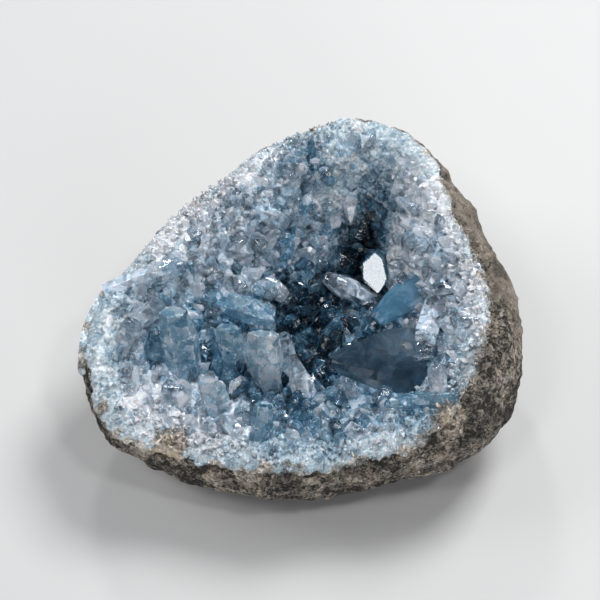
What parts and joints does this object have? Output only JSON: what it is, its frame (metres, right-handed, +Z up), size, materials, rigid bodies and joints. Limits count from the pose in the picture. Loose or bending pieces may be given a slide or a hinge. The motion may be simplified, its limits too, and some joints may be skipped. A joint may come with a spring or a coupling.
{
  "type": "celestite geode half",
  "caption": "Half of a geode: a rounded brown rock shell with a pale broken lip round a hollow lined with pale blue, clear and dark crystals.",
  "frame": {"origin": "middle of the bounding box's bottom, on the surface that the geode rests on", "axes": "+Z up, +X along the geode's greatest width, +Y towards its high side"},
  "size_m": [0.127, 0.11, 0.0578],
  "materials": {
    "rock": "rough grainy brown-grey rind, with a pale sugary broken lip",
    "celestite": "glassy clear to milky pale blue crystals"
  },
  "bodies": {
    "root": {"geode_shell": "rock", "crystal_crust": "celestite"}
  },
  "joints": []
}
